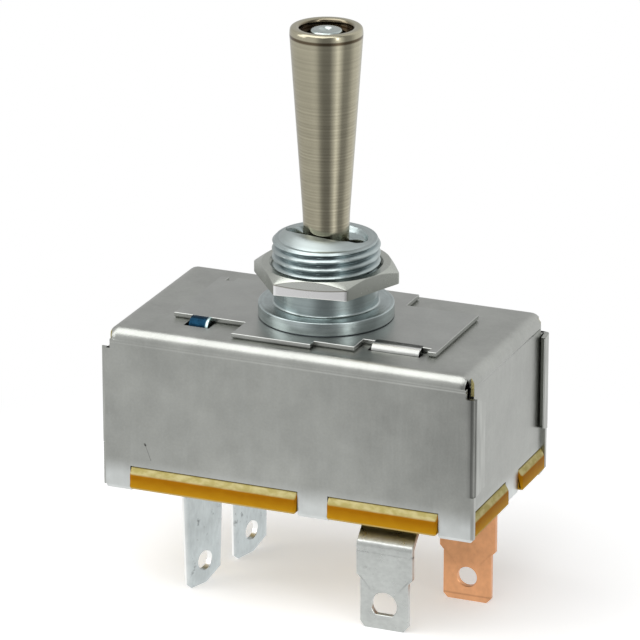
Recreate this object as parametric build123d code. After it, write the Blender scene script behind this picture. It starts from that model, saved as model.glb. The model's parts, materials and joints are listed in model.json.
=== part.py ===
from build123d import *
import math
import os

os.makedirs("parts", exist_ok=True)

# Panel toggle switch with a locking lever and four blade terminals, in millimetres.
# Origin: centre of the collar's top face, where the panel rests.
# +Z runs up the lever, +X along the case, and -Y is the front.

# Clearances
running_gap = 0.05       # radial, between a shaft and its hole
slide_gap = 0.15         # between flat sliding faces
seat_gap = 0.05          # between flat faces of two moving bodies
free_gap = 0.3           # between pieces that pass each other

# Folded case
case_length = 49.8       # over the wrapped ears
case_width = 26.4
case_height = 20.85
case_sheet = 0.6
case_fold = 1.5          # outer radius of the folds along the top
corner_fold = 1.0        # outer radius of the upright corners
relief_inset = 0.55      # from an end wall's face to the edge of the relief at a top corner
ear_standoff = 0.15      # gap between an ear and the end wall under it
ear_front_length = 3.4
ear_back_length = 2.0
ear_drop = 2.7           # from the case top down to an ear
ear_height = 12.65
ear_slope = 1.4          # fall of an ear's top edge
ear_tuck = 0.6           # rise of an ear's bottom edge
clinch_reach = 1.6       # how far a front lug is turned under the board
end_clinch_reach = 1.0   # the same for the lug of an end wall
clinch_round = 0.5
front_lug_left_width = 3.9
front_lug_middle = (1.6, 5.6)
front_lug_right_width = 4.7
end_lug = (-0.3, 4.2)

# Mounting plate
plate_sheet = 0.7
plate_half_length = 17.7
plate_shallow = 6.7      # from the middle to the set-back edge
plate_deep = 11.0        # from the middle to the tab's edge
plate_middle = 9.75      # from the middle to the edge beside the tab
plate_corner = 7.9       # from the middle to the short corner edge
tab_left = -8.1
tab_right = 2.4
middle_right = 7.7
flange_left = 9.2
flange_right = 15.5
corner_left = 16.6
flange_face = 8.15       # from the middle to the flange's outer face
flange_bend = 1.0        # outer radius
flange_depth = 0.7       # how far it passes the case sheet
tongue_middle = -13.3
tongue_width = 2.6
tongue_bend = 1.5        # outer radius
slot_margin = 0.3        # round the flange and tongue, in the case top

# Bushing
collar_radius = 8.5
collar_thickness = 1.75
shank_radius = 6.5
shank_fillet = 0.6
thread_radius = 6.745
thread_start = 2.6
nose_height = 8.35
nose_chamfer = 0.35
mouth_radius = 5.9       # where the flat rim meets the dome
dome_rise = 0.9
dome_top_radius = 3.4
gate_low_x = 2.2         # where the gate's ramp meets the rim
gate_high_x = -1.2       # where the ramp starts
slot_half_length = 5.3
slot_half_width = 3.2
chamber_floor = 2.2
chamber_top = 5.3
chamber_radius = 4.9
throat_radius = 3.35
spigot_radius = 6.0
rivet_over_radius = 6.7
rivet_over_height = 0.6

# Hexagon nut
nut_across_flats = 15.9
nut_height = 2.2
nut_lift = 3.0           # above the collar
nut_turn = 8.0           # degrees
nut_chamfer_angle = 30.0

# Lever
pivot_depth = 0.5        # below the collar's top face
ball_radius = 4.0
neck_radius = 2.2
stem_radius = 1.45
shoulder_height = 6.55
head_radius = 2.35
head_thickness = 0.8
head_height = 35.1
dimple_radius = 1.35
dimple_depth = 0.5
arm_radius = 3.0
arm_depth = 8.0
arm_bore_radius = 1.6
arm_bore_top = 2.0
pin_radius = 0.8
pin_half_length = 5.6

# Sleeve
sleeve_foot_radius = 2.86
sleeve_foot_height = 3.9
sleeve_top_radius = 4.53
lip_crest = 35.45
lip_height = 0.75        # from the taper's end to the crest
lip_edge = 0.2           # chamfers of the rolled lip
lip_crest_radius = 3.8
lip_mouth_radius = 3.3
lip_mouth_depth = 0.9
spring_bore_floor = 17.0

# Plunger and carriage
plunger_radius = 1.55
plunger_top = -6.2
plunger_tip_radius = 0.6
plunger_tip_middle = -10.0
plunger_cone_top = -9.3
groove_angle = 55.0      # each side, from upright
groove_gap = 0.1
deck_top = -9.0
carriage_travel = 2.2    # each way, with the lever's swing
cheek_thickness = 1.15
deck_pocket_floor = 1.2  # over the bridge springs' pockets
deck_pocket_wall = 1.6
deck_middle = 12.0       # length of the solid middle under the lever

# Board and its contacts
board_thickness = 2.85
board_gap = 0.05
tab_proud = 0.55
tab_chamfer = 0.95
rivet_radius = 1.2
rivet_head_radius = 2.2
rivet_head_height = 1.0
rivet_foot_radius = 1.9
rivet_foot_height = 0.7

# Blades
blade_sheet = 0.8
blade_width = 6.35
blade_tip = -37.3
shoulder_width = 7.4
shoulder_bottom = -30.3
shoulder_chamfer = 0.55
blade_bend = 1.1         # outer radius
hole_height = -34.1
foot_margin = 2.6        # from the rivet to the foot's end
right_front_inset = 11.25  # from the end wall's face to the blade's middle, here and below
right_back_inset = 5.05
left_front_inset = 10.4
left_back_inset = 12.15

# Contact bridges and springs
bridge_width = 5.0
bridge_sheet = 0.8
bridge_overhang = 2.3    # past the left rivet's axis
bridge_reach = 0.1       # past the right rivet's axis, short so that the slide can draw it off
bridge_travel = 0.6
bridge_pocket_radius = 2.4
bridge_pocket_depth = 4.3

# Levels that follow from the sizes
plate_top = -collar_thickness
case_top = plate_top - plate_sheet
case_bottom = case_top - case_height
board_top = case_bottom + board_thickness
half_length = case_length / 2
half_width = case_width / 2
end_face = half_length - case_sheet - ear_standoff
pivot_z = -pivot_depth
contact_level = board_top + rivet_head_height
bridge_bottom = contact_level + seat_gap
bed_top = bridge_bottom + bridge_sheet + bridge_travel + free_gap
spring_roof = bed_top + bridge_pocket_depth
deck_bottom = bridge_bottom + bridge_sheet / 4
front_lugs = ((-half_length, front_lug_left_width - half_length), front_lug_middle,
              (half_length - front_lug_right_width, half_length))


def block(x, y, z):
    """A box between the two values of each axis."""
    size = [abs(b - a) for a, b in (x, y, z)]
    middle = [(a + b) / 2 for a, b in (x, y, z)]
    return Pos(*middle) * Box(*size)


def turned(points):
    """A solid turned about Z from (radius, height) points."""
    return revolve(make_face(Plane.XZ * Polyline(*points, close=True)), Axis.Z)


def rod(radius, bottom, top):
    return Pos(0, 0, (bottom + top) / 2) * Cylinder(radius, top - bottom)


def both_ends(shape):
    """The shape and its copy turned half a turn about Z."""
    return shape + Rot(0, 0, 180) * shape


def coil(radius, wire, bottom, top, turns):
    """A round-wire spring between two levels."""
    pitch = (top - bottom - wire) / turns
    path = Helix(pitch, pitch * turns, radius)
    section = Plane(path @ 0, z_dir=path % 0) * RegularPolygon(wire / 2, 4)
    return Pos(0, 0, bottom + wire / 2) * sweep(section, path, is_frenet=True)


def gaps_between(lugs, low, high):
    """The stretches that lugs leave free between two limits."""
    ends = [low] + [v for lug in lugs for v in lug] + [high]
    return [(a, b) for a, b in zip(ends[::2], ends[1::2]) if b - a > case_sheet]


# Where the board shows through the case edge, along the front and along the right end
front_gaps = gaps_between(front_lugs, -half_length, half_length)
end_gaps = gaps_between((end_lug,), -(half_width - case_sheet), half_width - case_sheet)


def case_shell():
    """Top and four walls of one sheet, open below."""
    def hull(inset):
        height = case_height - inset
        body = Pos(0, 0, case_bottom + height / 2) * Box(
            2 * (end_face - inset), 2 * (half_width - inset), height)
        body = fillet(body.edges().filter_by(Axis.Z), corner_fold - inset)
        return fillet(body.edges().group_by(Axis.Z)[-1], case_fold - inset)
    return hull(0) - hull(case_sheet)


def case_corners():
    """What is cut from each upright corner, with the relief where the two top folds would meet."""
    cuts = Part()
    for x in (-1, 1):
        for y in (-1, 1):
            cuts += block((x * (end_face - corner_fold), x * (half_length + 1)),
                          (y * (half_width - corner_fold), y * (half_width + 1)),
                          (case_bottom - 1, case_top - ear_drop))
            cuts += block((x * (end_face - relief_inset), x * (half_length + 1)),
                          (y * (half_width - case_fold), y * (half_width + 1)),
                          (case_top - ear_drop - 1, case_top + 1))
    return cuts


def case_ears():
    """Ears that wrap round the upright corners onto the end walls."""
    outer = fillet(Rectangle(case_length, case_width).vertices(), corner_fold)
    inner = fillet(Rectangle(case_length - 2 * case_sheet, case_width - 2 * case_sheet).vertices(),
                   corner_fold - case_sheet)
    top = case_top - ear_drop
    ring = Pos(0, 0, top - ear_height) * extrude(outer - inner, ear_height)
    ears = Part()
    for x in (-1, 1):
        for y, length in ((-1, ear_front_length), (1, ear_back_length)):
            free = half_width - length
            flap = Plane.YZ * make_face(Polyline(
                (y * free, top - ear_slope), (y * (half_width - corner_fold), top),
                (y * (half_width + 1), top), (y * (half_width + 1), top - ear_height),
                (y * (half_width - corner_fold), top - ear_height),
                (y * free, top - ear_height + ear_tuck), close=True))
            flap = extrude(flap, x * (half_length + 1))
            ears += ring & flap & block((x * (end_face - corner_fold), x * (half_length + 1)),
                                        (-half_width - 1, half_width + 1), (top - ear_height, top))
            ears += block((x * (end_face - corner_fold), x * half_length),
                          (y * (half_width - case_sheet), y * half_width),
                          (case_bottom, top - ear_height))
    return ears


def clinch(x):
    """The turned-under end of one lug of the front wall."""
    x = (max(x[0], -end_face + case_sheet), min(x[1], end_face - case_sheet))
    foot = block(x, (-half_width, -half_width + clinch_reach), (case_bottom - case_sheet, case_bottom))
    edge = foot.edges().filter_by(Axis.X).group_by(Axis.Z)[0].sort_by(Axis.Y)[0]
    return fillet(edge, clinch_round)


def end_clinch():
    """The turned-under end of the lug of the right end wall."""
    foot = block((end_face - end_clinch_reach, end_face), end_lug, (case_bottom - case_sheet, case_bottom))
    edge = foot.edges().filter_by(Axis.Y).group_by(Axis.Z)[0].sort_by(Axis.X)[-1]
    return fillet(edge, clinch_round)


def make_case():
    case = case_shell() - case_corners() + case_ears()
    notches = Part()
    for x in front_gaps:
        notches += block(x, (-half_width - 1, -half_width + case_sheet), (case_bottom - 1, board_top))
    for y in end_gaps:
        notches += block((end_face - case_sheet, end_face), y, (case_bottom - 1, board_top))
    case -= both_ends(notches)
    feet = end_clinch()
    for lug in front_lugs:
        feet += clinch(lug)
    case += both_ends(feet)
    case -= rod(spigot_radius + running_gap, case_top - case_sheet - 1, case_top + 1)
    through = (case_top - case_sheet - 1, case_top + 1)
    slots = block((flange_left - slot_margin, flange_right + slot_margin),
                  (-flange_face - slot_margin, -flange_face + plate_sheet + slot_margin), through)
    slots += block((tongue_middle - tongue_width / 2 - 3 * slot_margin,
                    tongue_middle + tongue_width / 2 + 3 * slot_margin),
                   (-plate_shallow - tongue_bend - 2 * slot_margin, -plate_shallow + slot_margin), through)
    return case - both_ends(slots)


def bent_leg(x, start, bend, bottom):
    """A strip that leaves the plate's edge at y = -start and bends down with an outer radius."""
    middle = (-start, plate_top - bend)
    quarter = Pos(*middle) * (Circle(bend) - Circle(bend - plate_sheet))
    quarter &= Pos(middle[0] - bend / 2, middle[1] + bend / 2) * Rectangle(bend, bend)
    drop = middle[1] - bottom
    leg = Pos(middle[0] - bend + plate_sheet / 2, middle[1] - drop / 2) * Rectangle(plate_sheet, drop)
    return Pos(x[0], 0, 0) * extrude(Plane.YZ * (quarter + leg), x[1] - x[0])


def make_plate():
    """Stepped plate, the same turned half a turn, with a flange and a tongue on each long side."""
    flange_start = flange_face - flange_bend
    front = [(-plate_half_length, -plate_shallow), (tab_left, -plate_shallow), (tab_left, -plate_deep),
             (tab_right, -plate_deep), (tab_right, -plate_middle), (middle_right, -plate_middle),
             (middle_right, -plate_shallow), (flange_left, -plate_shallow), (flange_left, -flange_start),
             (flange_right, -flange_start), (flange_right, -plate_shallow), (corner_left, -plate_shallow),
             (corner_left, -plate_corner), (plate_half_length, -plate_corner)]
    back = [(-x, -y) for x, y in front]
    plate = Pos(0, 0, plate_top - plate_sheet) * extrude(
        make_face(Polyline(*front, *back, close=True)), plate_sheet)
    leg_bottom = case_top - case_sheet - flange_depth
    legs = bent_leg((flange_left, flange_right), flange_start, flange_bend, leg_bottom)
    legs += bent_leg((tongue_middle - tongue_width / 2, tongue_middle + tongue_width / 2),
                     plate_shallow, tongue_bend, leg_bottom)
    hole = rod(spigot_radius, plate_top - 2 * plate_sheet, plate_top + plate_sheet)
    return plate + both_ends(legs) - hole


def make_bushing():
    """Collar, shank, thread and nose in one turned piece, with the gate formed in its mouth."""
    spigot_end = case_top - case_sheet
    lip = nose_height + dome_rise
    outside = turned([
        (0, spigot_end - rivet_over_height), (rivet_over_radius, spigot_end - rivet_over_height),
        (rivet_over_radius, spigot_end), (spigot_radius, spigot_end), (spigot_radius, plate_top),
        (collar_radius, plate_top), (collar_radius, 0), (shank_radius, 0),
        (shank_radius, thread_start - thread_radius + shank_radius), (thread_radius, thread_start),
        (thread_radius, nose_height - nose_chamfer), (thread_radius - nose_chamfer, nose_height),
        (mouth_radius, nose_height), (dome_top_radius, lip), (0, lip)])
    root = outside.edges().filter_by(GeomType.CIRCLE).filter_by(
        lambda e: abs(e.radius - shank_radius) < 0.01 and abs(e.center().Z) < 0.01)
    outside = fillet(root, shank_fillet)
    ramp = Plane.XZ * make_face(Polyline(
        (gate_high_x, lip + 1), (gate_high_x, lip), (gate_low_x, nose_height),
        (collar_radius, nose_height), (collar_radius, lip + 1), close=True))
    outside -= extrude(ramp, collar_radius, both=True)
    ball_seat = ball_radius + running_gap
    inside = Pos(0, 0, pivot_z) * Sphere(ball_seat)
    inside += rod(ball_seat, spigot_end - rivet_over_height - 1, pivot_z)
    inside += turned([(0, pivot_z), (throat_radius, pivot_z), (throat_radius, chamber_floor),
                      (chamber_radius, chamber_top), (0, chamber_top)])
    slot = SlotOverall(2 * slot_half_length, 2 * slot_half_width)
    inside += Pos(0, 0, chamber_top - dome_rise) * extrude(slot, lip - chamber_top + 2 * dome_rise)
    pin_slot = pin_radius + running_gap
    inside += Pos(0, 0, pivot_z) * Rot(90, 0, 0) * Cylinder(pin_slot, 2 * (pin_half_length + running_gap))
    inside += block((-pin_slot, pin_slot), (-pin_half_length - running_gap, pin_half_length + running_gap),
                    (spigot_end - rivet_over_height - 1, pivot_z))
    return outside - inside


def make_nut():
    """Thin hexagon nut, its upper corners turned off."""
    corner = nut_across_flats / 2 / math.cos(math.pi / 6)
    fall = (corner - nut_across_flats / 2) * math.tan(math.radians(nut_chamfer_angle))
    prism = Rot(0, 0, nut_turn) * extrude(RegularPolygon(corner, 6), nut_height)
    cone = turned([(0, -1), (corner + 1, -1), (corner + 1, nut_height - fall),
                   (corner, nut_height - fall), (nut_across_flats / 2, nut_height), (0, nut_height)])
    nut = prism & cone
    return Pos(0, 0, nut_lift) * (nut - rod(thread_radius + running_gap, -1, nut_height + 1))


def make_rod():
    """Lever core: arm with a bore, pivot ball, neck, stem and spun head."""
    head_bottom = head_height - head_thickness
    body = turned([(0, -arm_depth), (arm_radius, -arm_depth), (arm_radius, pivot_z), (neck_radius, pivot_z),
                   (neck_radius, shoulder_height), (stem_radius, shoulder_height),
                   (stem_radius, head_bottom), (head_radius, head_bottom),
                   (head_radius, head_height - head_thickness / 3),
                   (head_radius - head_thickness / 3, head_height), (0, head_height)])
    body += Pos(0, 0, pivot_z) * Sphere(ball_radius)
    dimple = (dimple_radius ** 2 + dimple_depth ** 2) / (2 * dimple_depth)
    body -= Pos(0, 0, head_height - dimple_depth + dimple) * Sphere(dimple)
    body -= rod(arm_bore_radius, -arm_depth - 1, -arm_bore_top)
    return body - Pos(0, 0, pivot_z) * Rot(90, 0, 0) * Cylinder(pin_radius, 2 * ball_radius + 1)


def make_sleeve():
    """Tapered sleeve with a rolled lip, bored for the stem and for its spring."""
    foot = shoulder_height + seat_gap
    bore = stem_radius + running_gap
    wide_bore = head_radius + 2 * running_gap
    recess_floor = lip_crest - lip_mouth_depth
    return turned([
        (bore, foot), (sleeve_foot_radius, foot), (sleeve_foot_radius, foot + sleeve_foot_height),
        (sleeve_top_radius, lip_crest - lip_height), (sleeve_top_radius - lip_edge, lip_crest - lip_edge),
        (lip_crest_radius, lip_crest), (lip_mouth_radius + lip_edge / 2, lip_crest - lip_edge),
        (lip_mouth_radius, lip_crest - 2 * lip_edge), (lip_mouth_radius, recess_floor),
        (wide_bore, recess_floor), (wide_bore, spring_bore_floor), (bore, spring_bore_floor)])


def make_plunger():
    """Pin with a rounded cone that rests in the carriage's groove."""
    with BuildPart() as plunger:
        with BuildSketch(Plane.XZ):
            with BuildLine():
                low = (0, plunger_tip_middle - plunger_tip_radius)
                side = (plunger_tip_radius * math.cos(math.radians(30)),
                        plunger_tip_middle - plunger_tip_radius / 2)
                between = (plunger_tip_radius / 2,
                           plunger_tip_middle - plunger_tip_radius * math.cos(math.radians(30)))
                ThreePointArc(low, between, side)
                Polyline(side, (plunger_radius, plunger_cone_top), (plunger_radius, plunger_top),
                         (0, plunger_top), low)
            make_face()
        revolve(axis=Axis.Z)
    return plunger.part


def terminal(at, angle, jog, foot_reach, hole_width, hole_flat, near_chamfer, far_chamfer):
    """A blade that hangs at a place, turned by an angle, its foot flat under the board.

    The local x runs along the blade's width and the local y towards the foot's end."""
    foot_z = case_bottom - blade_sheet / 2
    ridge_z = foot_z - jog
    points = [(0, blade_tip), (0, ridge_z), (jog, foot_z), (foot_reach, foot_z)]
    if not jog:
        points.pop(1)
    radius = blade_bend - blade_sheet / 2
    strip = trace(FilletPolyline(*points, radius=radius), blade_sheet)
    strip = extrude(Plane.YZ * strip, shoulder_width, both=True)
    wide, narrow = shoulder_width / 2, blade_width / 2
    outline = make_face(Polyline(
        (-wide, case_bottom + 1), (-wide, shoulder_bottom), (-narrow, shoulder_bottom - shoulder_chamfer),
        (-narrow, blade_tip + near_chamfer[1]), (-narrow + near_chamfer[0], blade_tip),
        (narrow - far_chamfer[0], blade_tip), (narrow, blade_tip + far_chamfer[1]),
        (narrow, shoulder_bottom - shoulder_chamfer), (wide, shoulder_bottom),
        (wide, case_bottom + 1), close=True))
    blade = strip & extrude(Plane.XZ * outline, foot_reach + jog + 2, both=True)
    hole = Circle(hole_width / 2)
    if hole_flat:
        hole &= Pos(0, hole_width / 2 - hole_flat / 2) * Rectangle(hole_width, hole_flat)
    blade -= extrude(Plane.XZ * Pos(0, hole_height) * hole, blade_sheet, both=True)
    return Pos(at[0], at[1], 0) * Rot(0, 0, angle) * blade


def rivet(at):
    """Contact rivet: button on the board, shank through board and foot, peened end below."""
    foot = case_bottom - blade_sheet
    body = turned([(0, foot - rivet_foot_height), (rivet_foot_radius * 0.7, foot - rivet_foot_height),
                   (rivet_foot_radius, foot), (rivet_radius, foot), (rivet_radius, board_top),
                   (rivet_head_radius, board_top), (rivet_head_radius, contact_level - 0.3),
                   (rivet_head_radius - 0.3, contact_level), (0, contact_level)])
    return Pos(at[0], at[1], 0) * body


# Blades by name: place, turn, jog, reach of the foot to the rivet, rivet's shift along the width,
# hole width, height of a flat-bottomed hole, chamfers of the tip's two corners
blades = {
    "right_front": dict(at=(end_face - right_front_inset, -12.2), angle=0, jog=2.6, reach=4.8, shift=0,
                        hole=3.4, flat=3.0, near=(0.6, 0.75), far=(0.6, 0.75)),
    "right_back": dict(at=(end_face - right_back_inset, 0.3), angle=0, jog=0, reach=4.3, shift=0,
                       hole=2.6, flat=0, near=(0.6, 0.6), far=(0.6, 0.6)),
    "left_front": dict(at=(left_front_inset - end_face, -7.5), angle=-108, jog=0, reach=4.4, shift=-1.5,
                       hole=2.7, flat=0, near=(2.7, 1.4), far=(0.9, 0.75)),
    "left_back": dict(at=(left_back_inset - end_face, 3.9), angle=-104, jog=0, reach=4.4, shift=-1.5,
                      hole=2.7, flat=0, near=(2.7, 1.3), far=(0.9, 0.7)),
}


def rivet_place(blade):
    """Where a blade's rivet stands, worked out from the blade's place and turn."""
    turn = math.radians(blade["angle"])
    x, y = blade["shift"], blade["reach"]
    return (blade["at"][0] + x * math.cos(turn) - y * math.sin(turn),
            blade["at"][1] + x * math.sin(turn) + y * math.cos(turn))


rivet_places = {name: rivet_place(blade) for name, blade in blades.items()}


def bridge_span(side):
    """The two ends and the row of the bridge that joins the rivets of a side."""
    left, right = rivet_places["left_" + side], rivet_places["right_" + side]
    return left[0] - bridge_overhang, right[0] + bridge_reach, (left[1] + right[1]) / 2


def board_tabs():
    """The front and right-end tabs, chamfered above."""
    tabs = Part()
    front_face = half_width - case_sheet
    for x in front_gaps:
        low = max(x[0], -end_face) + board_gap
        high = min(x[1], end_face) - board_gap
        profile = Plane.YZ * make_face(Polyline(
            (-front_face + 1, case_bottom), (-half_width - tab_proud, case_bottom),
            (-half_width - tab_proud, board_top - tab_chamfer),
            (-half_width, board_top - board_gap), (-front_face + 1, board_top - board_gap), close=True))
        tabs += Pos(low, 0, 0) * extrude(profile, high - low)
    wall_face = end_face - case_sheet
    for y in end_gaps:
        profile = Plane.XZ * make_face(Polyline(
            (wall_face - 1, case_bottom), (end_face + tab_proud, case_bottom),
            (end_face + tab_proud, board_top - tab_chamfer),
            (end_face, board_top - board_gap), (wall_face - 1, board_top - board_gap), close=True))
        tabs += Pos(0, y[1] - board_gap, 0) * extrude(profile, y[1] - y[0] - 2 * board_gap)
    return tabs


def make_board():
    inner_x = end_face - case_sheet - board_gap
    inner_y = half_width - case_sheet - board_gap
    board = block((-inner_x, inner_x), (-inner_y, inner_y), (case_bottom, board_top))
    board += both_ends(board_tabs())
    for place in rivet_places.values():
        board -= Pos(place[0], place[1], 0) * rod(rivet_radius, case_bottom - 1, board_top + 1)
    return board


def make_bridge(side):
    left, right, row = bridge_span(side)
    strip = block((left, right), (row - bridge_width / 2, row + bridge_width / 2),
                  (bridge_bottom, bridge_bottom + bridge_sheet))
    return fillet(strip.edges().filter_by(Axis.Z), bridge_sheet)


def make_carriage():
    """Moulded slide: a deck with the lever's groove, guide cheeks and two bridge beds."""
    half_y = half_width - case_sheet - slide_gap
    half_x = end_face - case_sheet - carriage_travel - slide_gap
    ceiling = case_top - case_fold
    floor = board_top + seat_gap
    body = block((-half_x, half_x), (-half_y, half_y), (deck_bottom, deck_top))
    for y in (-1, 1):
        body += block((-half_x, half_x), (y * (half_y - cheek_thickness), y * half_y), (floor, ceiling))
        pocket_x = (deck_middle / 2, half_x - deck_pocket_wall)
        pocket_y = (y * deck_pocket_wall / 2, y * (half_y - cheek_thickness))
        for x in (-1, 1):
            body -= block([x * v for v in pocket_x], pocket_y, (spring_roof + deck_pocket_floor, deck_top + 1))
    groove_bottom = plunger_tip_middle - (plunger_tip_radius + groove_gap) / math.sin(
        math.radians(groove_angle))
    spread = (deck_top + 1 - groove_bottom) * math.tan(math.radians(groove_angle))
    groove = Plane.XZ * make_face(Polyline(
        (0, groove_bottom), (spread, deck_top + 1), (-spread, deck_top + 1), close=True))
    body -= extrude(groove, arm_radius, both=True)
    for side in ("front", "back"):
        left, right, row = bridge_span(side)
        body -= block((left - slide_gap, right + slide_gap),
                      (row - bridge_width / 2 - slide_gap, row + bridge_width / 2 + slide_gap),
                      (deck_bottom - 1, bed_top))
        body -= Pos((left + right) / 2, row, 0) * rod(bridge_pocket_radius, bed_top - 1, spring_roof)
    return body


def make_bridge_spring(side):
    left, right, row = bridge_span(side)
    spring = coil(bridge_pocket_radius - 0.5, 0.45, bridge_bottom + bridge_sheet, spring_roof, 3)
    return Pos((left + right) / 2, row, 0) * spring


nodes = {
    "case": make_case(),
    "mounting_plate": make_plate(),
    "bushing": make_bushing(),
    "hex_nut": make_nut(),
    "lever_rod": make_rod(),
    "lever_sleeve": make_sleeve(),
    "pivot_pin": Pos(0, 0, pivot_z) * Rot(90, 0, 0) * Cylinder(pin_radius, 2 * pin_half_length),
    "lock_spring": coil(stem_radius + 0.5, 0.45, spring_bore_floor, head_height - head_thickness, 6),
    "plunger": make_plunger(),
    "plunger_spring": coil(arm_bore_radius - 0.4, 0.4, plunger_top, -arm_bore_top, 4),
    "slide_carriage": make_carriage(),
    "terminal_board": make_board(),
}
for side in ("front", "back"):
    nodes["bridge_" + side] = make_bridge(side)
    nodes["bridge_spring_" + side] = make_bridge_spring(side)
for name, blade in blades.items():
    made = terminal(blade["at"], blade["angle"], blade["jog"], blade["reach"] + foot_margin,
                    blade["hole"], blade["flat"], blade["near"], blade["far"])
    place = rivet_places[name]
    made -= Pos(place[0], place[1], 0) * rod(rivet_radius, case_bottom - blade_sheet - 1, case_bottom + 1)
    nodes["terminal_" + name] = made
    nodes["rivet_" + name] = rivet(place)

for name, shape in nodes.items():
    solids = shape.solids()
    shape = solids[0] if len(solids) == 1 else Compound(children=solids)
    export_step(shape, f"parts/{name}.step")
    print(name, len(solids), round(sum(s.volume for s in solids), 2))
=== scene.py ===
import bpy
import json
import math
import numpy as np
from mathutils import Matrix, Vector


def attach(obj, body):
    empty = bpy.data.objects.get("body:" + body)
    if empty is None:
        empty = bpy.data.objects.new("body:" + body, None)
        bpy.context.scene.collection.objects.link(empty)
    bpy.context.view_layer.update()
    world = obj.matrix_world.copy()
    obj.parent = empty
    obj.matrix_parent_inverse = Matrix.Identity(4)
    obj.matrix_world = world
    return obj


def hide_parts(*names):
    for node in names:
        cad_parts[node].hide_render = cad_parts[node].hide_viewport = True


# Panel toggle switch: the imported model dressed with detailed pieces.
# Sizes are in millimetres here and become metres in the meshes.

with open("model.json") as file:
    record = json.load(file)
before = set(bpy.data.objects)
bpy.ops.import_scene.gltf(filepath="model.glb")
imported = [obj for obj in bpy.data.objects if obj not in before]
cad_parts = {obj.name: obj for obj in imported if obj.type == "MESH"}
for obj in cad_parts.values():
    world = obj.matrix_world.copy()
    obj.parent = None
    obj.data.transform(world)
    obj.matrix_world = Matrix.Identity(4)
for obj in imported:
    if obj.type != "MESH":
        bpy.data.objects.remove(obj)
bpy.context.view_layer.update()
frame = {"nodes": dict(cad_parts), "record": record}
mm = 0.001
print("frame loaded")


# Shader expressions

class Wire:
    # A socket that arithmetic can be written with: each operation adds one Math node
    def __init__(self, nodes, socket):
        self.nodes = nodes
        self.socket = socket

    def math(self, operation, first, second=0.0):
        return self.nodes.node("ShaderNodeMath", {"operation": operation}, {0: first, 1: second})

    def __add__(self, other):
        return self.math("ADD", self, other)

    def __sub__(self, other):
        return self.math("SUBTRACT", self, other)

    def __rsub__(self, other):
        return self.math("SUBTRACT", other, self)

    def __mul__(self, other):
        return self.math("MULTIPLY", self, other)

    def __truediv__(self, other):
        return self.math("DIVIDE", self, other)

    def __rtruediv__(self, other):
        return self.math("DIVIDE", other, self)

    def __pow__(self, other):
        return self.math("POWER", self, other)

    def __gt__(self, other):
        return self.math("GREATER_THAN", self, other)

    def __lt__(self, other):
        return self.math("LESS_THAN", self, other)

    def __neg__(self):
        return self * -1.0

    __radd__, __rmul__ = __add__, __mul__

    def size(self):
        # The distance from zero
        return self.math("ABSOLUTE", self)

    def smooth(self, low, high):
        # 0 below low, 1 above high, and an eased ramp between them; turned over where low is the higher one
        return self.nodes.node("ShaderNodeMapRange", {"interpolation_type": "SMOOTHSTEP"},
                               {"Value": self, "From Min": low, "From Max": high})

    def near(self, middle, half, core=0.0):
        # 1 within core of middle, easing to 0 at half away from it
        return (self - middle).size().smooth(half, core)

    def within(self, low, high):
        # 1 between low and high, 0 outside
        return (self > low) * (self < high)


class Nodes:
    # A node tree whose nodes are all made by one method
    def __init__(self, tree):
        self.tree = tree

    def node(self, kind, settings=None, inputs=None, output=0):
        made = self.tree.nodes.new(kind)
        for name, value in (settings or {}).items():
            if name == "stops":
                ramp = made.color_ramp
                for spare in range(len(value) - 2):
                    ramp.elements.new(0.5)
                for stop, (place, colour) in zip(ramp.elements, value):
                    stop.position = place
                    stop.color = (*colour, 1.0)
            else:
                setattr(made, name, value)
        for name, value in (inputs or {}).items():
            self.feed(made.inputs[name], value)
        return Wire(self, made.outputs[output])

    def feed(self, socket, value):
        if isinstance(value, Wire):
            self.tree.links.new(value.socket, socket)
        elif isinstance(value, (tuple, list)) and socket.type == "RGBA":
            socket.default_value = (*value, 1.0) if len(value) == 3 else value
        else:
            socket.default_value = value

    def mix(self, amount, first, second):
        return self.node("ShaderNodeMix", {"data_type": "RGBA"}, {0: amount, 6: first, 7: second}, output=2)

    def ramp(self, value, stops):
        return self.node("ShaderNodeValToRGB", {"stops": stops}, {"Fac": value})

    def axes(self, vector):
        split = self.node("ShaderNodeSeparateXYZ", None, {"Vector": vector})
        return [Wire(self, split.socket.node.outputs[n]) for n in range(3)]


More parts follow.
